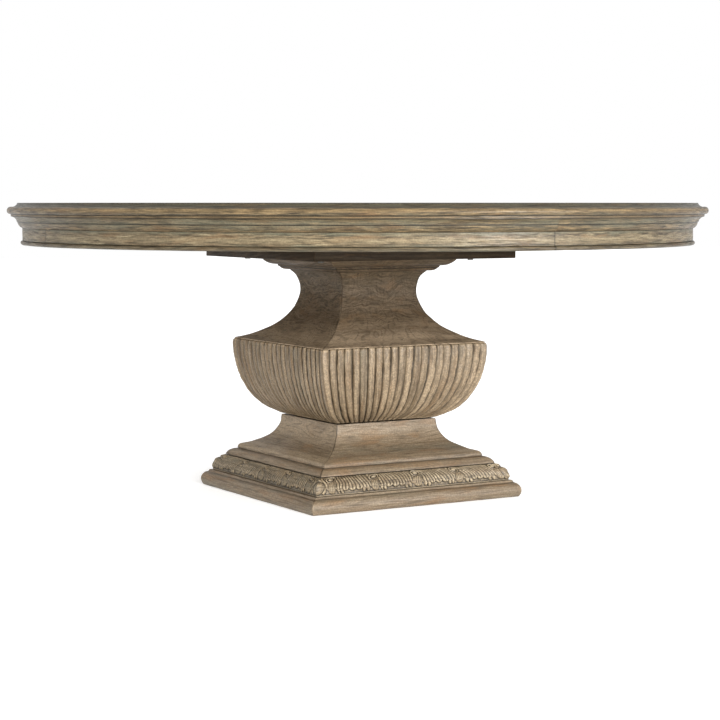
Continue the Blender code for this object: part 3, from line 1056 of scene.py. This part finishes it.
def make_glides():
    """A ribbed foot, and a threaded stud whose hex collar takes a spanner."""
    for quadrant in QUADRANTS:
        foot, stud = f"glide_foot_{quadrant}", f"glide_stud_{quadrant}"
        low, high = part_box(foot)
        radius = (high.x - low.x) / 2
        socket = 0.0043
        profile = [(0, 0.003), (socket, 0.003), (socket, high.z - 0.0004), (socket + 0.0004, high.z)]
        profile += [(0.0085, high.z), (0.009, high.z - 0.0005), (0.0095, 0.0086), (0.0105, 0.008)]
        profile += [(radius - 0.0015, 0.008), (radius - 0.0004, 0.0076), (radius, 0.0065)]
        profile += [(radius, 0.002), (radius - 0.0003, 0.0008), (radius - 0.001, 0), (0, 0)]

        def ribbed(angles, radii, heights):
            rim = radii > radius - 0.0009
            dip = FOOT_RIB_DEPTH * (0.5 + 0.5 * np.cos(FOOT_RIBS * angles))
            return np.where(rim, radii - dip, radii)

        mesh = revolved(foot + "_moulded", profile, 120, ribbed)
        mesh.transform(matrix_at((low + high) / 2))
        show(foot + "_moulded", finish_mesh(mesh, 35), PLASTIC, foot, foot)

        low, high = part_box(stud)
        collar_bottom, collar_top = 0.0108, 0.0153
        runout = collar_top + 0.0008
        heights = np.arange(high.z - 0.001, runout, -THREAD_PITCH / 6)
        profile = [(0, high.z), (0.0030, high.z), *((STUD_RADIUS, height) for height in heights)]
        profile += [(STUD_RADIUS, collar_top), (0.0070, collar_top), (0.0078, collar_top - 0.0006)]
        profile += [(0.0078, collar_bottom + 0.0006), (0.0070, collar_bottom), (STUD_RADIUS, collar_bottom)]
        profile += [(STUD_RADIUS, low.z + 0.0006), (0.0034, low.z), (0, low.z)]

        def threaded(angles, radii, levels):
            collar = radii > 0.005
            radii = np.where(collar, np.minimum(radii, hexagon(angles, COLLAR_ACROSS_FLATS)), radii)
            thread = (radii == STUD_RADIUS) & (levels > runout)
            wave = np.abs(((levels / THREAD_PITCH + angles / (2 * math.pi)) % 1) * 2 - 1)
            return np.where(thread, radii - THREAD_DEPTH * wave, radii)

        mesh = revolved(stud + "_threaded", profile, 36, threaded)
        mesh.transform(matrix_at((low + high) / 2))
        show(stud + "_threaded", finish_mesh(mesh, 40), STEEL, stud, stud)


# ---------------------------------------------------------------- stage


def make_floor():
    bpy.ops.mesh.primitive_plane_add(size=40)
    floor = bpy.context.object
    floor.name = "floor"
    paint = Paint("pale_floor")
    place = paint.node("TexCoord", {}, "Object")
    cloud = paint.noise(paint.stretched(place, 3, 3, 3), 2.0)
    tone = paint.mix(cloud, (0.90, 0.90, 0.90, 1), (0.94, 0.94, 0.94, 1))
    paint.surface(Base_Color=tone, Roughness=0.9, Specular_IOR_Level=0.1)
    paint.surface(Emission_Color=(1, 1, 1, 1), Emission_Strength=0.42)
    floor.data.materials.append(paint.material)


def add_area(name, azimuth, elevation, distance, size, watts):
    """A soft square light that faces the middle of the table. Returns its object."""
    azimuth, elevation = math.radians(azimuth), math.radians(elevation)
    target = Vector((0, 0, HEIGHT / 2))
    flat = distance * math.cos(elevation)
    light = bpy.data.lights.new(name, "AREA")
    light.size = size
    light.energy = watts
    lamp = bpy.data.objects.new(name, light)
    lamp.location = target + Vector(
        (flat * math.sin(azimuth), -flat * math.cos(azimuth), distance * math.sin(elevation))
    )
    lamp.rotation_euler = (target - lamp.location).to_track_quat("-Z", "Y").to_euler()
    bpy.context.scene.collection.objects.link(lamp)
    return lamp


def make_light():
    """Even white surroundings, a soft key light, and a second one that is only seen as a sheen."""
    world = bpy.data.worlds.new("white_studio")
    bpy.context.scene.world = world
    world.use_nodes = True
    background = world.node_tree.nodes["Background"]
    background.inputs["Color"].default_value = (1, 1, 1, 1)
    background.inputs["Strength"].default_value = 1.0
    key = add_area("key", azimuth=-15, elevation=11, distance=5.0, size=2.2, watts=260)
    key.visible_glossy = False
    sheen = add_area("sheen", azimuth=15, elevation=6, distance=5.0, size=1.4, watts=340)
    sheen.visible_diffuse = False


def make_camera():
    """Level with the table top, looking a little down at the pedestal's front left corner."""
    azimuth, tilt = math.radians(-30.56), math.radians(4.778)
    distance, height, sideways = 5.035, 0.7718, 0.006
    away = Vector((math.sin(azimuth), -math.cos(azimuth), 0)) * distance
    right = Vector((math.cos(azimuth), math.sin(azimuth), 0)) * sideways
    camera = bpy.data.objects.new("camera", bpy.data.cameras.new("camera"))
    camera.data.lens = 94.77
    camera.location = away + right + Vector((0, 0, height))
    camera.rotation_euler = (QUARTER - tilt, 0, azimuth)
    bpy.context.scene.collection.objects.link(camera)
    bpy.context.scene.camera = camera


make_top()
make_round_ring("edge_moulding", rim_face(), RIM_INNER, RIM_WOOD, 0.00022, end_line=0.0)
make_round_ring("apron", apron_face(), APRON_INNER, APRON_WOOD, 0.00015, end_line=0.6)
make_square_ring("cornice", cornice_face(), NECK_WOOD, CORNICE_INNER)
make_square_ring("neck_panel", neck_face(), NECK_WOOD)
make_bowl()
# The spreader's left side is painted paler, as painted light.
make_square_ring("spreader_panel", spreader_face(), BASE_WOOD, left_painted_shading=-0.5)
make_square_ring("step_moulding", step_face(), BASE_WOOD, STEP_INNER)
make_carved_band()
# The plinth's left side is painted greyer, as painted shade.
make_square_ring("plinth_rail", plinth_face(), BASE_WOOD, PLINTH_INNER, left_painted_shading=0.3)
make_boards()
make_bolts()
make_glides()
make_floor()
make_light()
make_camera()
bpy.context.scene.view_settings.view_transform = "Standard"
